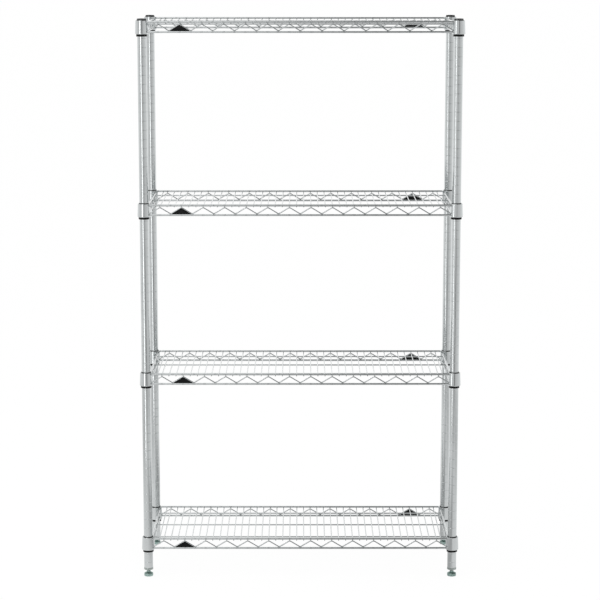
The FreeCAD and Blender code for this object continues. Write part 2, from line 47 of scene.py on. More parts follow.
# Posts: steel tubes, 25.4 mm across, with a groove rolled in every inch and bright chrome plate over all.
# They stand on the levelling feet, and the sleeves' beads sit in their grooves.
CORNERS = ("front_left", "front_right", "rear_left", "rear_right")
UP = Vector((0, 0, 1))
FLAT = Vector((1, 1, 0))
POST_SIDES = 48
ROUND_STEPS = 3
merge_reach = 0.000002
post_wall = 0.0012
groove_pitch = 0.0254
groove_start = 0.0173
groove_depth = 0.0002
groove_half_width = 0.0012
groove_steps = 3
groove_flat = 0.0006
dark_ring_half_width = 0.0004
dark_ring_fade = 0.0008
dark_ring_patch = (160, 160, 160)
dark_ring_share = (0.05, 0.35)
chrome_deep = (0.60, 0.624, 0.627)
chrome_pale = (0.65, 0.674, 0.677)
chrome_haze = (14, 14, 14)
chrome_roughness = (0.07, 0.13)
haze_roughness = (0.03, -0.01)
lines_along = 12
lines_across = 900
lines_height = 0.03
dull_chrome = (0.41, 0.43, 0.432)
dull_roughness = 0.16
relief_depth = 0.0001
noise_roughness = 0.6
post_box = {corner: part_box(f"post_{corner}") for corner in CORNERS}
post_axis = {corner: (low + high) / 2 * FLAT for corner, (low, high) in post_box.items()}
post_low = post_box["front_left"][0].z
post_high = post_box["front_left"][1].z
post_radius = (post_box["front_left"][1].x - post_box["front_left"][0].x) / 2
post_bore = post_radius - post_wall
groove_count = int((post_high - post_low - groove_start) / groove_pitch) + 1


def add_node(tree, kind, **settings):
    """New shader node with its settings."""
    made = tree.nodes.new(f"ShaderNode{kind}")
    for key, setting in settings.items():
        setattr(made, key, setting)
    return made


def feed(tree, socket, source):
    """Sets a socket to a plain number or colour, or links another node's output to it."""
    if isinstance(source, tuple):
        socket.default_value = (*source, 1)
    elif isinstance(source, (int, float)):
        socket.default_value = source
    else:
        tree.links.new(source, socket)


def start_finish(name):
    """New material with its shader and the piece's own coordinates."""
    finish = bpy.data.materials.new(name)
    finish.use_nodes = True
    tree = finish.node_tree
    shader = tree.nodes["Principled BSDF"]
    place = add_node(tree, "TexCoord").outputs["Object"]
    return finish, tree, shader, place


def split_axes(tree, place):
    """A place's parts along X, Y and Z."""
    split = add_node(tree, "SeparateXYZ")
    tree.links.new(place, split.inputs["Vector"])
    return split.outputs


def spread_noise(tree, place, stretch, detail):
    """Noise in cycles per metre along each axis."""
    mapping = add_node(tree, "Mapping")
    mapping.inputs["Scale"].default_value = stretch
    tree.links.new(place, mapping.inputs["Vector"])
    noise = add_node(tree, "TexNoise")
    noise.inputs["Scale"].default_value = 1
    noise.inputs["Detail"].default_value = detail
    noise.inputs["Roughness"].default_value = noise_roughness
    tree.links.new(mapping.outputs["Vector"], noise.inputs["Vector"])
    return noise.outputs["Fac"]


def between(tree, factor, low, high, start=0.3, end=0.7):
    """Number that runs from low to high as the factor goes from start to end."""
    ranged = add_node(tree, "MapRange")
    for socket, number in (("From Min", start), ("From Max", end), ("To Min", low), ("To Max", high)):
        ranged.inputs[socket].default_value = number
    tree.links.new(factor, ranged.inputs["Value"])
    return ranged.outputs["Result"]


def blend_colours(tree, factor, first, second):
    """Colour between two others; each is a plain colour or another node's output."""
    mixed = add_node(tree, "Mix", data_type="RGBA")
    tree.links.new(factor, mixed.inputs["Factor"])
    sockets = {socket.name: socket for socket in mixed.inputs if socket.type == "RGBA"}
    feed(tree, sockets["A"], first)
    feed(tree, sockets["B"], second)
    return [output for output in mixed.outputs if output.type == "RGBA"][0]


def calculate(tree, operation, *numbers):
    """Math node; each number is a plain one or another node's output."""
    sum_node = add_node(tree, "Math", operation=operation)
    for socket, number in zip(sum_node.inputs, numbers):
        feed(tree, socket, number)
    return sum_node.outputs["Value"]


def product(tree, first, *others):
    """All the factors multiplied together."""
    for other in others:
        first = calculate(tree, "MULTIPLY", first, other)
    return first


def raise_surface(tree, shader, height, strength):
    """Fine relief that follows a pattern's height."""
    bump = add_node(tree, "Bump")
    bump.inputs["Strength"].default_value = strength
    bump.inputs["Distance"].default_value = relief_depth
    tree.links.new(height, bump.inputs["Height"])
    tree.links.new(bump.outputs["Normal"], shader.inputs["Normal"])


def chrome_plate(name, drawn, find_dull=None):
    """Bright chrome over drawn steel: cool grey, hazy in places, with faint lines along the drawn axis.
    find_dull makes the pattern of the places where the plate is dull."""
    finish, tree, shader, place = start_finish(name)
    shader.inputs["Metallic"].default_value = 1
    haze = spread_noise(tree, place, chrome_haze, detail=3)
    stretch = tuple(lines_along if axis else lines_across for axis in drawn)
    lines = spread_noise(tree, place, stretch, detail=4)
    colour = blend_colours(tree, between(tree, haze, 0, 1), chrome_deep, chrome_pale)
    roughness = calculate(tree, "ADD", between(tree, lines, *chrome_roughness),
                          between(tree, haze, *haze_roughness))
    if find_dull:
        dull = find_dull(tree, place)
        colour = blend_colours(tree, dull, colour, dull_chrome)
        roughness = calculate(tree, "ADD", roughness, product(tree, dull, dull_roughness))
    feed(tree, shader.inputs["Base Color"], colour)
    feed(tree, shader.inputs["Roughness"], roughness)
    raise_surface(tree, shader, lines, lines_height)
    return finish


def every(tree, distance, pitch, half_width, fade):
    """1 within the half width of each multiple of the pitch, falling to 0 over the fade."""
    away = calculate(tree, "PINGPONG", distance, pitch / 2)
    return between(tree, away, 1, 0, half_width, half_width + fade)


def in_patches(tree, place, mark, patch, share):
    """Mark that comes and goes in small patches."""
    patches = spread_noise(tree, place, patch, detail=2)
    return product(tree, mark, between(tree, patches, *share))


def groove_dark_rings(tree, place):
    """Plate is darker and duller, in patches, at the bottom of each rolled groove."""
    height = calculate(tree, "SUBTRACT", split_axes(tree, place)["Z"], post_low + groove_start)
    ring = every(tree, height, groove_pitch, dark_ring_half_width, dark_ring_fade)
    return in_patches(tree, place, ring, dark_ring_patch, dark_ring_share)


def edges_at(verts):
    """Edges that meet at any of some points."""
    return list(dict.fromkeys(edge for vert in verts for edge in vert.link_edges))


def round_over(mesh, parts, reach, affect, steps):
    """Rounds corner points or edges."""
    bmesh.ops.bevel(mesh, geom=parts, offset=reach, offset_type="OFFSET", affect=affect, segments=steps,
                    profile=0.5, material=-1)


def spin_outline(mesh, outline, axis, sides, angle=math.tau, closed=True, rounded=()):
    """Turns an outline of (radius, height) points about an upright axis.
    rounded holds (point, reach) pairs for the points that are rounded first."""
    points = [mesh.verts.new((axis.x + radius, axis.y, height)) for radius, height in outline]
    ends = points[1:] + points[:1] if closed else points[1:]
    for first, second in zip(points, ends):
        mesh.edges.new((first, second))
    before = set(mesh.verts) - set(points)
    for index, reach in rounded:
        round_over(mesh, [points[index]], reach, "VERTICES", ROUND_STEPS)
    line = [vert for vert in mesh.verts if vert not in before]
    bmesh.ops.spin(mesh, geom=line + edges_at(line), cent=axis, axis=UP, angle=angle, steps=sides,
                   use_merge=angle == math.tau)


def make_piece(name, node, mesh, finish, body, sharp=40):
    """Smooth-shaded piece that stands for a CAD node and moves with its body."""
    bmesh.ops.remove_doubles(mesh, verts=mesh.verts[:], dist=merge_reach)
    bmesh.ops.recalc_face_normals(mesh, faces=mesh.faces[:])
    data = bpy.data.meshes.new(name)
    mesh.to_mesh(data)
    mesh.free()
    data.shade_smooth()
    data.set_sharp_from_angle(angle=math.radians(sharp))
    data.materials.append(finish)
    piece = bpy.data.objects.new(name, data)
    scene.collection.objects.link(piece)
    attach(piece, body)
    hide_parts(node)


post_chrome = chrome_plate("post_chrome", (0, 0, 1), groove_dark_rings)
for corner in CORNERS:
    node = f"post_{corner}"
    outline = [(post_bore, post_low), (post_radius, post_low)]
    for number in range(groove_count):
        middle = post_low + groove_start + number * groove_pitch
        outline.append((post_radius, middle - groove_half_width - groove_flat))
        for step in range(-groove_steps, groove_steps + 1):
            share = step / groove_steps
            depth = groove_depth * math.cos(share * math.pi / 2) ** 2
            outline.append((post_radius - depth, middle + share * groove_half_width))
        outline.append((post_radius, middle + groove_half_width + groove_flat))
    outline += [(post_radius, post_high), (post_bore, post_high)]
    mesh = bmesh.new()
    spin_outline(mesh, outline, post_axis[corner], POST_SIDES)
    make_piece(f"{node}_chrome", node, mesh, post_chrome, "frame", sharp=50)

# Post caps: black plugs of moulded plastic, pushed into the posts' upper ends.
# A thin skirt holds each one inside the tube, so that only a low crowned disc shows.
cap_crown = 0.0007
cap_steps = 5
cap_edge = 0.0008
cap_gap = 0.0001
cap_plug_radius = post_bore - cap_gap
cap_plug_wall = 0.0016
black_deep = (0.003, 0.0032, 0.0034)
black_pale = (0.009, 0.0093, 0.0096)
black_flow = (70, 70, 70)
mould_grain = (2600, 2600, 2600)
mould_height = 0.25


def moulded_black(name, shine, smooth, rough):
    """Black plastic with the fine even grain of an eroded mould, which is satin or polished."""
    finish, tree, shader, place = start_finish(name)
    grain = spread_noise(tree, place, mould_grain, detail=3)
    flow = spread_noise(tree, place, black_flow, detail=2)
    colour = blend_colours(tree, between(tree, flow, 0, 1), black_deep, black_pale)
    feed(tree, shader.inputs["Base Color"], colour)
    feed(tree, shader.inputs["Roughness"], between(tree, grain, smooth, rough))
    shader.inputs["Specular IOR Level"].default_value = shine
    raise_surface(tree, shader, grain, mould_height)
    return finish


cap_black = moulded_black("cap_black", shine=0.03, smooth=0.6, rough=0.74)
for corner in CORNERS:
    node = f"post_cap_{corner}"
    low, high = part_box(node)
    outline = []
    for step in range(cap_steps + 1):
        share = step / cap_steps
        outline.append((share * post_radius, high.z - cap_crown * share ** 2))
    outline += [
        (post_radius, post_high),
        (cap_plug_radius, post_high),
        (cap_plug_radius, low.z),
        (cap_plug_radius - cap_plug_wall, low.z),
        (cap_plug_radius - cap_plug_wall, post_high),
        (0, post_high),
    ]
    mesh = bmesh.new()
    spin_outline(mesh, outline, post_axis[corner], POST_SIDES, closed=False, rounded=((cap_steps, cap_edge),))
    make_piece(f"{node}_black", node, mesh, cap_black, "frame")

# Foot sockets: turned steel plugs, zinc plated and pressed into the posts' lower ends.
# A thick flange carries the tube, and the bore takes the foot's stud.
flange_radius = 0.0131
flange_edge = 0.0004
socket_gap = 0.00005
socket_radius = post_bore - socket_gap
socket_bore = 0.0042
zinc_crystals = 700
zinc_cloud = (120, 120, 120)
zinc_mottle = (0.1, 0.4)
zinc_roughness = (0.3, 0.46)
zinc_height = 0.12


def zinc_plate(name, dull, bright):
    """Passivated zinc: greenish grey, with a mottled crystal pattern."""
    finish, tree, shader, place = start_finish(name)
    shader.inputs["Metallic"].default_value = 1
    crystals = add_node(tree, "TexVoronoi")
    crystals.inputs["Scale"].default_value = zinc_crystals
    tree.links.new(place, crystals.inputs["Vector"])
    cloud = spread_noise(tree, place, zinc_cloud, detail=3)
    mottle = product(tree, crystals.outputs["Distance"], cloud)
    colour = blend_colours(tree, between(tree, mottle, 0, 1, *zinc_mottle), dull, bright)
    feed(tree, shader.inputs["Base Color"], colour)
    feed(tree, shader.inputs["Roughness"], between(tree, cloud, *zinc_roughness))
    raise_surface(tree, shader, mottle, zinc_height)
    return finish


socket_zinc = zinc_plate("socket_zinc", dull=(0.32, 0.36, 0.345), bright=(0.46, 0.5, 0.485))
for corner in CORNERS:
    node = f"foot_socket_{corner}"
    low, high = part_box(node)
    outline = [
        (socket_bore, low.z),
        (flange_radius, low.z),
        (flange_radius, post_low),
        (socket_radius, post_low),
        (socket_radius, high.z),
        (socket_bore, high.z),
    ]
    mesh = bmesh.new()
    spin_outline(mesh, outline, post_axis[corner], POST_SIDES, rounded=((1, flange_edge), (2, flange_edge)))
    make_piece(f"{node}_zinc", node, mesh, socket_zinc, "frame")

# Levelling feet: dull zinc-plated steel pads with a wrench hexagon, on bright 8 mm threaded studs.
# They screw up into the sockets, and are turned in or out to level the unit.
pad_radius = 0.0128
pad_height = 0.008
pad_edge = 0.0008
shoulder_radius = 0.007
shoulder_height = 0.011
hex_across = 0.011
hex_corner = hex_across / math.sqrt(3)
hex_height = 0.0035
hex_edge = 0.0003
hex_steps = 2
stud_radius = 0.004
stud_root = 0.0034
thread_pitch = 0.00125
thread_steps = 20
thread_sunk = 0.003


def close_ends(mesh):
    """Fills every open ring of edges with a face."""
    bmesh.ops.holes_fill(mesh, edges=[edge for edge in mesh.edges if edge.is_boundary], sides=0)


def cut_thread(mesh, axis, low, high):
    """V thread: one turn of its outline screwed up the stud, with both ends closed."""
    outline = ((stud_root, low), (stud_radius, low + thread_pitch / 2), (stud_root, low + thread_pitch))
    points = [mesh.verts.new((axis.x + radius, axis.y, height)) for radius, height in outline]
    edges = [mesh.edges.new(pair) for pair in zip(points, points[1:])]
    turns = int((high - low) / thread_pitch) - 1
    bmesh.ops.spin(mesh, geom=points + edges, cent=axis, axis=UP, dvec=UP * thread_pitch / thread_steps,
                   angle=turns * math.tau, steps=turns * thread_steps)
    bmesh.ops.remove_doubles(mesh, verts=mesh.verts[:], dist=merge_reach)
    close_ends(mesh)


pad_zinc = zinc_plate("pad_zinc", dull=(0.21, 0.305, 0.28), bright=(0.44, 0.57, 0.535))
stud_zinc = zinc_plate("stud_zinc", dull=(0.68, 0.71, 0.70), bright=(0.80, 0.82, 0.81))
for corner in CORNERS:
    node = f"levelling_foot_{corner}"
    body = f"foot_{corner}"
    low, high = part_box(node)
    axis = post_axis[corner]
    outline = [
        (0, low.z),
        (pad_radius, low.z),
        (pad_radius, low.z + pad_height),
        (shoulder_radius, low.z + shoulder_height),
        (0, low.z + shoulder_height),
    ]
    mesh = bmesh.new()
    spin_outline(mesh, outline, axis, POST_SIDES, closed=False,
                 rounded=((1, pad_edge), (2, pad_edge), (3, pad_edge)))
    hex_middle = axis + UP * (low.z + shoulder_height + hex_height / 2)
    hexagon = bmesh.ops.create_cone(mesh, cap_ends=True, segments=6, radius1=hex_corner, radius2=hex_corner,
                                    depth=hex_height, matrix=Matrix.Translation(hex_middle))
    round_over(mesh, edges_at(hexagon["verts"]), hex_edge, "EDGES", hex_steps)
    make_piece(f"{node}_pad_zinc", node, mesh, pad_zinc, body, sharp=30)
    mesh = bmesh.new()
    cut_thread(mesh, axis, low.z + shoulder_height + hex_height - thread_sunk, high.z)
    make_piece(f"{node}_stud_zinc", node, mesh, stud_zinc, body, sharp=30)

# Split sleeves: two tapered half shells of black plastic, clipped round each post with a bead in a groove.
# The shelf's collar wedges down over them, and a narrow band of them shows under and over it.
SHELVES = ("bottom_shelf", "lower_shelf", "upper_shelf", "top_shelf")
SLEEVE_SIDES = 30
sleeve_gap = 0.0001
sleeve_bore = post_radius + sleeve_gap
sleeve_low_radius = 0.01538
sleeve_high_radius = 0.01358
sleeve_edge = 0.0006
sleeve_split = math.radians(3)
bead_below_top = 0.0248
bead_radius = 0.01225
bead_half_width = 0.0009
sleeve_black = moulded_black("sleeve_black", shine=0.12, smooth=0.24, rough=0.34)
for shelf in SHELVES:
    for corner in CORNERS:
        node = f"{shelf}_split_sleeve_{corner}"
        low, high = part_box(node)
        bead = high.z - bead_below_top
        mesh = bmesh.new()
        for side in (1, -1):
            outline = [
                (side * sleeve_bore, low.z),
                (side * sleeve_low_radius, low.z),
                (side * sleeve_high_radius, high.z),
                (side * sleeve_bore, high.z),
                (side * sleeve_bore, bead + bead_half_width),
                (side * bead_radius, bead),
                (side * sleeve_bore, bead - bead_half_width),
            ]
            spin_outline(mesh, outline, post_axis[corner], SLEEVE_SIDES, math.pi - sleeve_split,
                         rounded=((1, sleeve_edge),))
        close_ends(mesh)
        make_piece(f"{node}_black", node, mesh, sleeve_black, "frame")

# Corner collars: thick tapered steel rings with rounded lower edges, chrome plated with the shelf.
# The rails are welded to them, and they wedge down over the sleeves.
COLLAR_SIDES = 56
collar_wall = 0.0034
collar_edge = 0.0008
collar_lip = 0.0022
collar_height = 0.038
collar_low_radius = 0.01864
collar_high_radius = 0.0172
collar_straight = (0.003, 0.0366)
shelf_level = {shelf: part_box(f"{shelf}_collars")[0].z for shelf in SHELVES}


def collar_radius(rise):
    """Outside of a collar at a height above its lower end."""
    return collar_low_radius + (collar_high_radius - collar_low_radius) * rise / collar_height


collar_chrome = chrome_plate("collar_chrome", (1, 1, 0))
for shelf in SHELVES:
    node = f"{shelf}_collars"
    level = shelf_level[shelf]
    mesh = bmesh.new()
    for corner in CORNERS:
        outline = [
            (collar_low_radius - collar_wall, level),
            (collar_low_radius, level),
            *((collar_radius(rise), level + rise) for rise in collar_straight),
            (collar_high_radius, level + collar_height),
            (collar_high_radius - collar_wall, level + collar_height),
        ]
        spin_outline(mesh, outline, post_axis[corner], COLLAR_SIDES,
                     rounded=((0, collar_edge), (1, collar_lip), (4, collar_edge), (5, collar_edge)))
    make_piece(f"{node}_chrome", node, mesh, collar_chrome, shelf)

# Long trusses, front and rear: two 5.6 mm steel rails and a 3.2 mm zigzag wire, chromed with the shelf.
# The zigzag is spot-welded on the lower rail and under the deck wires that cross the upper one.
# The rails' ends are welded to the collars, over a little flare of weld metal.
RAIL_SIDES = 24
ZIGZAG_SIDES = 10
BEND_STEPS = 4
rail_radius = 0.0028
rail_sink = 0.0004
rail_ends = ((-rail_sink, 1.22), (0.0006, 1.1), (0.0018, 1.0), (0.0034, 1.0))
wire_hold = 0.0012
zigzag_radius = 0.0016
zigzag_bend = 0.006
zigzag_count = 14
zigzag_end = 0.015
weld_depth = 0.0001
weld_half_width = 0.0012
weld_fade = 0.0035
weld_patch = (220, 220, 220)
weld_share = (0.1, 0.75)
deck_radius = 0.0014
left, right = post_axis["front_left"].x, post_axis["front_right"].x
front, rear = post_axis["front_left"].y, post_axis["rear_left"].y
zigzag_pitch = (right - left - 2 * zigzag_end) / zigzag_count


def ring_of(mesh, centre, along, radius, sides):
    """Ring of edges round a wire's axis."""
    turned = Matrix((along.cross(UP), UP, -along)).transposed().to_4x4()
    made = bmesh.ops.create_circle(mesh, segments=sides, radius=radius,
                                   matrix=Matrix.Translation(centre) @ turned)
    return edges_at(made["verts"])


def pull(mesh, ring, step):
    """Draws a wire's last ring straight on, and returns the new ring."""
    made = bmesh.ops.extrude_edge_only(mesh, edges=ring)["geom"]
    verts = {part for part in made if isinstance(part, bmesh.types.BMVert)}
    bmesh.ops.translate(mesh, verts=list(verts), vec=step)
    return [part for part in made if isinstance(part, bmesh.types.BMEdge) and verts.issuperset(part.verts)]


def draw_straight(mesh, ring, step):
    """Draws a wire on with a ring close to each end, which keeps its smooth shading straight."""
    hold = step.normalized() * wire_hold
    for part in (hold, step - 2 * hold, hold):
        ring = pull(mesh, ring, part)
    return ring


def turn_wire(mesh, ring, centre, axis, angle, steps):
    """Bends a wire on round a centre, and returns the new ring."""
    made = bmesh.ops.spin(mesh, geom=ring, cent=centre, axis=axis, angle=angle, steps=steps)
    return [part for part in made["geom_last"] if isinstance(part, bmesh.types.BMEdge)]


def weld_rail(mesh, first, last, level):
    """Rail between two points above the posts' axes, each end shaped to its tapered collar."""
    along = (last - first).normalized()
    ring = ring_of(mesh, first, along, rail_radius, RAIL_SIDES)
    stations = [(first, along, gap, swell) for gap, swell in rail_ends]
    stations += [(last, -along, gap, swell) for gap, swell in reversed(rail_ends)]
    for number, (end, inward, gap, swell) in enumerate(stations):
        if number:
            ring = pull(mesh, ring, Vector())
        post = min(post_axis.values(), key=lambda axis: (axis - end * FLAT).length)
        for vert in {vert for edge in ring for vert in edge.verts}:
            from_end = vert.co - end
            out = from_end - inward * from_end.dot(inward)
            place = end + out.normalized() * rail_radius * swell
            off_post = (place - post) * FLAT
            aside = off_post - inward * off_post.dot(inward)
            reach = math.sqrt(collar_radius(place.z - level) ** 2 - aside.length_squared)
            vert.co = place + inward * (reach + gap)


def leg_slope(pitch, low, high):
    """Angle of the straight legs between a zigzag's bends."""
    rise = high - low - 2 * zigzag_bend
    return math.acos(-2 * zigzag_bend / math.hypot(pitch / 2, rise)) - math.atan2(pitch / 2, rise)


def bend_zigzag(mesh, start, along, pitch, count, low, high):
    """Zigzag wire with straight legs between its bends, from one valley to another."""
    axis = along.cross(UP)
    slope = leg_slope(pitch, low, high)
    leg = (pitch / 2 - 2 * zigzag_bend * math.sin(slope)) / math.cos(slope)
    ring = ring_of(mesh, start + UP * low, along, zigzag_radius, ZIGZAG_SIDES)
    for number in range(count):
        valley = start + along * number * pitch + UP * (low + zigzag_bend)
        peak = start + along * (number + 0.5) * pitch + UP * (high - zigzag_bend)
        ring = turn_wire(mesh, ring, valley, axis, slope, BEND_STEPS)
        ring = draw_straight(mesh, ring, (along * math.cos(slope) + UP * math.sin(slope)) * leg)
        ring = turn_wire(mesh, ring, peak, axis, -2 * slope, 2 * BEND_STEPS)
        ring = draw_straight(mesh, ring, (along * math.cos(slope) - UP * math.sin(slope)) * leg)
        ring = turn_wire(mesh, ring, valley + along * pitch, axis, slope, BEND_STEPS)


def zigzag_welds(tree, place, axis, start, pitch):
    """Dull marks at each half pitch, where the zigzag's bends are spot-welded."""
    run = calculate(tree, "SUBTRACT", split_axes(tree, place)[axis], start)
    spots = every(tree, run, pitch / 2, weld_half_width, weld_fade)
    return in_patches(tree, place, spots, weld_patch, weld_share)


def long_truss_welds(tree, place):
    """Weld marks along a front or rear truss."""
    return zigzag_welds(tree, place, "X", left + zigzag_end, zigzag_pitch)


long_truss_chrome = chrome_plate("long_truss_chrome", (1, 0, 0), long_truss_welds)
for shelf in SHELVES:
    deck_low, deck_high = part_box(f"{shelf}_deck_wires")
    deck_z = (deck_low.z + deck_high.z) / 2
    for side in ("front", "rear"):
        node = f"{shelf}_{side}_truss"
        low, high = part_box(node)
        across = (low.y + high.y) / 2
        bottom = low.z + rail_radius
        top = high.z - rail_radius
        valley = bottom + rail_radius + zigzag_radius - weld_depth
        peak = deck_z - deck_radius - zigzag_radius + weld_depth
        mesh = bmesh.new()
        for height in (top, bottom):
            ends = [Vector((end, across, height)) for end in (left, right)]
            weld_rail(mesh, *ends, shelf_level[shelf])
        start = Vector((left + zigzag_end, across, 0))
        bend_zigzag(mesh, start, Vector((1, 0, 0)), zigzag_pitch, zigzag_count, valley, peak)
        close_ends(mesh)
        make_piece(f"{node}_chrome", node, mesh, long_truss_chrome, shelf)

# Side trusses: the same steel rails and zigzag wire, four peaks long, and chromed with the shelf.
# The zigzag is spot-welded to both rails, whose ends are welded to the collars, and the upper rails
# lie on the ends of the support wires.
side_zigzag_count = 4
side_zigzag_end = 0.015
side_pitch = (rear - front - 2 * side_zigzag_end) / side_zigzag_count


def side_truss_welds(tree, place):
    """Weld marks along a left or right truss."""
    return zigzag_welds(tree, place, "Y", front + side_zigzag_end, side_pitch)


side_truss_chrome = chrome_plate("side_truss_chrome", (0, 1, 0), side_truss_welds)
for shelf in SHELVES:
    node = f"{shelf}_side_trusses"
    low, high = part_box(node)
    bottom = low.z + rail_radius
    top = high.z - rail_radius
    valley = bottom + rail_radius + zigzag_radius - weld_depth
    peak = top - rail_radius - zigzag_radius + weld_depth
    for side, across in (("left", low.x + rail_radius), ("right", high.x - rail_radius)):
        mesh = bmesh.new()
        for height in (top, bottom):
            ends = [Vector((across, end, height)) for end in (front, rear)]
            weld_rail(mesh, *ends, shelf_level[shelf])
        start = Vector((across, front + side_zigzag_end, 0))
        bend_zigzag(mesh, start, Vector((0, 1, 0)), side_pitch, side_zigzag_count, valley, peak)
        close_ends(mesh)
        make_piece(f"{shelf}_{side}_truss_chrome", node, mesh, side_truss_chrome, shelf)

# Support wires: three 4 mm steel wires from side to side, chromed with the shelf.
# They run under the deck, and every deck wire is welded to them.
SUPPORT_SIDES = 12
support_radius = 0.002
support_tip = 0.0005
support_ways = (-0.124, 0, 0.124)
tip_steps = 2


def cut_wire(mesh, first, last, radius, tip, sides):
    """Straight length of wire with its sheared ends rounded over."""
    ring = ring_of(mesh, first, (last - first).normalized(), radius, sides)
    end = draw_straight(mesh, ring, last - first)
    rims = ring + end
    bmesh.ops.edgeloop_fill(mesh, edges=ring)
    bmesh.ops.edgeloop_fill(mesh, edges=end)
    round_over(mesh, rims, tip, "EDGES", tip_steps)


support_chrome = chrome_plate("support_chrome", (1, 0, 0))
for shelf in SHELVES:
    node = f"{shelf}_support_wires"
    low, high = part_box(node)
    height = (low.z + high.z) / 2
    mesh = bmesh.new()
    for way in support_ways:
        ends = [Vector((end, way, height)) for end in (low.x, high.x)]
        cut_wire(mesh, *ends, support_radius, support_tip, SUPPORT_SIDES)
    make_piece(f"{node}_chrome", node, mesh, support_chrome, shelf)

# Deck wires: 2.8 mm steel wires from front to rear, three to each zigzag peak, chromed with the shelf.
# They are welded under the long top rails and on the support wires.
DECK_SIDES = 24
deck_tip = 0.0004
deck_per_peak = 3
deck_pitch = zigzag_pitch / deck_per_peak
deck_count = deck_per_peak * (zigzag_count - 1) + 1
truss_weld_fade = (0.1655, 0.1675)
support_weld_fade = (0.001, 0.0035)


def deck_welds(tree, place):
    """Dull marks at the outer support wires and the long trusses."""
    away = calculate(tree, "ABSOLUTE", split_axes(tree, place)["Y"])
    truss = between(tree, away, 0, 1, *truss_weld_fade)
    support = calculate(tree, "ABSOLUTE", calculate(tree, "SUBTRACT", away, support_ways[2]))
    spots = calculate(tree, "MAXIMUM", truss, between(tree, support, 1, 0, *support_weld_fade))
    return in_patches(tree, place, spots, weld_patch, weld_share)


deck_chrome = chrome_plate("deck_chrome", (0, 1, 0), deck_welds)
for shelf in SHELVES:
    node = f"{shelf}_deck_wires"
    low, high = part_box(node)
    height = (low.z + high.z) / 2
    ways = [(number - (deck_count - 1) / 2) * deck_pitch for number in range(deck_count)]
    ways += [low.x + deck_radius, high.x - deck_radius]
    mesh = bmesh.new()
    for way in ways:
        ends = [Vector((way, end, height)) for end in (low.y, high.y)]
        cut_wire(mesh, *ends, deck_radius, deck_tip, DECK_SIDES)
    make_piece(f"{node}_chrome", node, mesh, deck_chrome, shelf)

# Badge plates: plain plates of black moulded plastic, one at the front and one at the rear of each shelf.
# They snap in under the second peak from an end, and have a low rim round a bare field.
badge_thickness = 0.003
badge_peak = left + zigzag_end + 1.5 * zigzag_pitch
badge_edge = 0.0003
badge_rim = 0.0012
badge_field = 0.0004
badge_crown = 0.00435
badge_crown_steps = 6
badge_corner = 0.0006
badge_zigzag_rise = 0.0162
badge_slope = leg_slope(zigzag_pitch, 0, badge_zigzag_rise)
badge_black = moulded_black("badge_black", shine=0.12, smooth=0.46, rough=0.62)
for shelf in SHELVES:
    node = f"{shelf}_badges"
    low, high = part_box(node)
    apex = high.z + badge_crown * (1 / math.cos(badge_slope) - 1)
    half = (apex - low.z) / math.tan(badge_slope)
    sides = (("front", badge_peak, low.y), ("rear", -badge_peak, high.y - badge_thickness))
    for side, middle, face_y in sides:
        mesh = bmesh.new()
        points = [mesh.verts.new((middle + x, face_y, z))
                  for x, z in ((-half, low.z), (half, low.z), (0, apex))]
        mesh.faces.new(points)
        round_over(mesh, points[2:], badge_crown * math.tan(badge_slope), "VERTICES", badge_crown_steps)
        round_over(mesh, points[:2], badge_corner / math.tan(badge_slope / 2), "VERTICES", ROUND_STEPS)
        solid = bmesh.ops.extrude_face_region(mesh, geom=mesh.faces[:])["geom"]
        back = [part for part in solid if isinstance(part, bmesh.types.BMVert)]
        bmesh.ops.translate(mesh, verts=back, vec=(0, badge_thickness, 0))
        bmesh.ops.recalc_face_normals(mesh, faces=mesh.faces[:])
        for plate in [face for face in mesh.faces if len(face.verts) > 4]:
            for inset, depth in ((badge_edge, 0), (badge_rim, 0), (badge_field, -badge_field)):
                bmesh.ops.inset_region(mesh, faces=[plate], thickness=inset, depth=depth)
        make_piece(f"{shelf}_{side}_badge_black", node, mesh, badge_black, shelf, sharp=25)

# Studio floor: a wide white floor that looks white to the camera and keeps a pale shadow of the unit.
# In the chrome it is white behind the unit and greyer towards the camera, with a painted shadow of the
# shelves under them and painted shade far aside.
# It also mirrors the dark part of the room at the camera's right.
floor_size = 120
floor_glow = 0.94
floor_tones = ((0.95, 0.95, 0.95), (0.98, 0.98, 0.98))
floor_cloud = (0.8, 0.8, 0.8)
floor_roughness = 0.9
floor_front = (0.9, 0.7)
floor_front_run = (0.6, 2.4)
floor_back = 1.1
front_to_back = (-0.8, 1)
under_shade = (0.05, 0.45)
under_shade_run = (-0.45, 0.15)
under_end = (1, 0.2)
under_end_run = (0.34, 0.5)
under_reach = (0.8, 1.7)
side_shade = 0.2
side_shade_run = (1.1, 1.7)
side_reach = (2.2, 3.5)
dark_share = 0.62
dark_left_edge = (-0.1, 0.05)
dark_right_edge = (0.2, 0.45)
dark_back_edge = (0.2, 0.9)
dark_near = (0.1, 1)
dark_near_run = (1.4, 3.4)
dark_far = (1, 0.35)
dark_far_run = (5, 8)


def mix_numbers(tree, factor, first, second):
    """Number between two others; each is a plain one or another node's output."""
    mixed = add_node(tree, "Mix", data_type="FLOAT")
    tree.links.new(factor, mixed.inputs["Factor"])
    feed(tree, mixed.inputs["A"], first)
    feed(tree, mixed.inputs["B"], second)
    return mixed.outputs["Result"]


def rest_of(tree, share):
    """What a share leaves of 1."""
    return calculate(tree, "SUBTRACT", 1, share)


def dark_front(tree, across, back):
    """Share of the light that is missing at the camera's right; across and back are parts of a direction."""
    left_edge = between(tree, across, 0, dark_share, *dark_left_edge)
    right_edge = between(tree, across, 1, 0, *dark_right_edge)
    return product(tree, left_edge, right_edge, between(tree, back, 1, 0, *dark_back_edge))


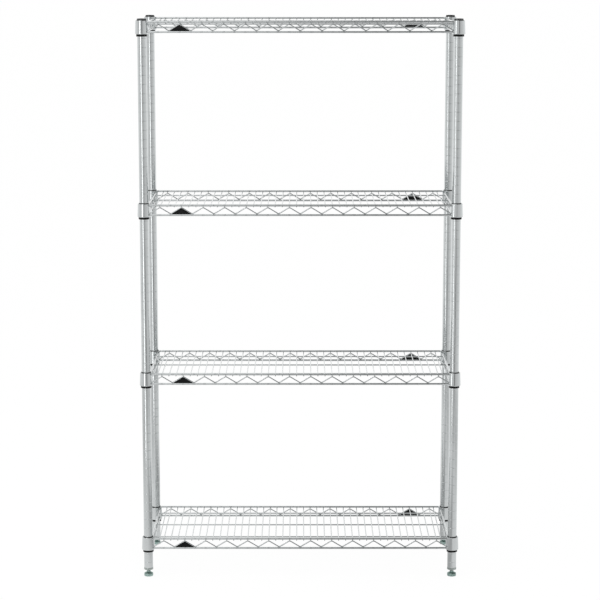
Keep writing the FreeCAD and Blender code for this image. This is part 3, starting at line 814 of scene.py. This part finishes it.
def mirrored_floor(tree, place):
    """Brightness of the floor as the chrome mirrors it."""
    axes = split_axes(tree, place)
    across = axes["X"]
    length = add_node(tree, "VectorMath", operation="LENGTH")
    tree.links.new(place, length.inputs[0])
    away = length.outputs["Value"]
    back = calculate(tree, "DIVIDE", axes["Y"], away)
    in_front = between(tree, away, *floor_front, *floor_front_run)
    plain = mix_numbers(tree, between(tree, back, 0, 1, *front_to_back), in_front, floor_back)
    under = product(tree, between(tree, across, *under_shade, *under_shade_run),
                    between(tree, across, *under_end, *under_end_run),
                    between(tree, away, 1, 0, *under_reach))
    aside = calculate(tree, "ABSOLUTE", across)
    beside = product(tree, between(tree, aside, 0, side_shade, *side_shade_run),
                     between(tree, away, 1, 0, *side_reach))
    dark = product(tree, dark_front(tree, calculate(tree, "DIVIDE", across, away), back),
                   between(tree, away, *dark_near, *dark_near_run),
                   between(tree, away, *dark_far, *dark_far_run))
    lit = rest_of(tree, calculate(tree, "ADD", under, beside))
    return product(tree, plain, lit, rest_of(tree, dark))


def white_floor():
    """White floor that glows to the camera and in reflections, with a share that takes the shadow."""
    finish, tree, shader, place = start_finish("floor_white")
    cloud = spread_noise(tree, place, floor_cloud, detail=2)
    feed(tree, shader.inputs["Base Color"], blend_colours(tree, cloud, *floor_tones))
    shader.inputs["Roughness"].default_value = floor_roughness
    shader.inputs["Specular IOR Level"].default_value = 0
    rays = add_node(tree, "LightPath").outputs
    glow = add_node(tree, "Emission")
    glow.inputs["Color"].default_value = (1, 1, 1, 1)
    brightness = mix_numbers(tree, rays["Is Glossy Ray"], 1, mirrored_floor(tree, place))
    feed(tree, glow.inputs["Strength"], brightness)
    seen = calculate(tree, "MAXIMUM", rays["Is Camera Ray"], rays["Is Transmission Ray"])
    mixed = add_node(tree, "MixShader")
    share = calculate(tree, "MAXIMUM", product(tree, seen, floor_glow), rays["Is Glossy Ray"])
    feed(tree, mixed.inputs["Fac"], share)
    tree.links.new(shader.outputs["BSDF"], mixed.inputs[1])
    tree.links.new(glow.outputs["Emission"], mixed.inputs[2])
    tree.links.new(mixed.outputs["Shader"], tree.nodes["Material Output"].inputs["Surface"])
    return finish


floor_mesh = bmesh.new()
bmesh.ops.create_grid(floor_mesh, x_segments=1, y_segments=1, size=floor_size)
floor_data = bpy.data.meshes.new("studio_floor")
floor_mesh.to_mesh(floor_data)
floor_mesh.free()
floor_data.materials.append(white_floor())
floor = bpy.data.objects.new("studio_floor", floor_data)
scene.collection.objects.link(floor)

# Studio room: plain white to the camera and as light on the unit.
# In the chrome it is whitest behind the unit, greyer behind the camera and at both sides overhead,
# and dark at the camera's right, for the dark streak beside each post's bright line.
room_front_to_back = (0.7, 1.12)
overhead_run = (0.1, 0.5)
left_light = (0.5, 0.83)
left_light_run = (-0.4, -0.08)
right_light = (1, 0.2)
right_light_run = (0.08, 0.4)
room = bpy.data.worlds.new("studio_room")
room.use_nodes = True
scene.world = room
tree = room.node_tree
direction = split_axes(tree, add_node(tree, "TexCoord").outputs["Generated"])
across = direction["X"]
back = direction["Y"]
back_side = between(tree, back, *room_front_to_back, *front_to_back)
overhead = between(tree, direction["Z"], 0, 1, *overhead_run)
sides = product(tree, between(tree, across, *left_light, *left_light_run),
                between(tree, across, *right_light, *right_light_run))
side_light = mix_numbers(tree, overhead, 1, sides)
room_light = product(tree, back_side, side_light, rest_of(tree, dark_front(tree, across, back)))
rays = add_node(tree, "LightPath").outputs
shine = tree.nodes["Background"]
shine.inputs["Color"].default_value = (1, 1, 1, 1)
feed(tree, shine.inputs["Strength"], mix_numbers(tree, rays["Is Glossy Ray"], 1, room_light))

# Lamps: a narrow upright strip at the camera's left, which draws the bright line down each post,
# and a broad soft panel high up on the same side.
strip_place = Vector((-0.98, -1.29, 1.12))
strip_aim = Vector((0, 0, 1.0))
strip_size = (0.2, 2.2)
strip_power = 3.6
panel_place = Vector((-1.2, -1.4, 3.6))
panel_aim = Vector((0, 0, 0.8))
panel_size = (2.4, 2.4)
panel_power = 18


def hang_lamp(name, place, aim, size, power):
    """Soft rectangular lamp, turned towards a point."""
    lamp = bpy.data.lights.new(name, "AREA")
    lamp.shape = "RECTANGLE"
    lamp.size, lamp.size_y = size
    lamp.energy = power
    hung = bpy.data.objects.new(name, lamp)
    hung.location = place
    hung.rotation_euler = (aim - place).to_track_quat("-Z", "Y").to_euler()
    scene.collection.objects.link(hung)


hang_lamp("strip_lamp", strip_place, strip_aim, strip_size, strip_power)
hang_lamp("top_lamp", panel_place, panel_aim, panel_size, panel_power)

# Camera: at the photograph's place, a little above the top shelf.
# Its long lens is tipped down to the middle of the unit, without shift.
camera_place = Vector((-0.0005, -5.76, 1.775))
camera_dip = math.radians(9.8)
camera_lens = 120.84
film_width = 36
view_end = 200
camera_data = bpy.data.cameras.new("camera")
camera_data.lens = camera_lens
camera_data.sensor_width = film_width
camera_data.clip_end = view_end
camera = bpy.data.objects.new("camera", camera_data)
camera.location = camera_place
camera.rotation_euler = (math.pi / 2 - camera_dip, 0, 0)
scene.collection.objects.link(camera)
scene.camera = camera
scene.view_settings.view_transform = "Standard"
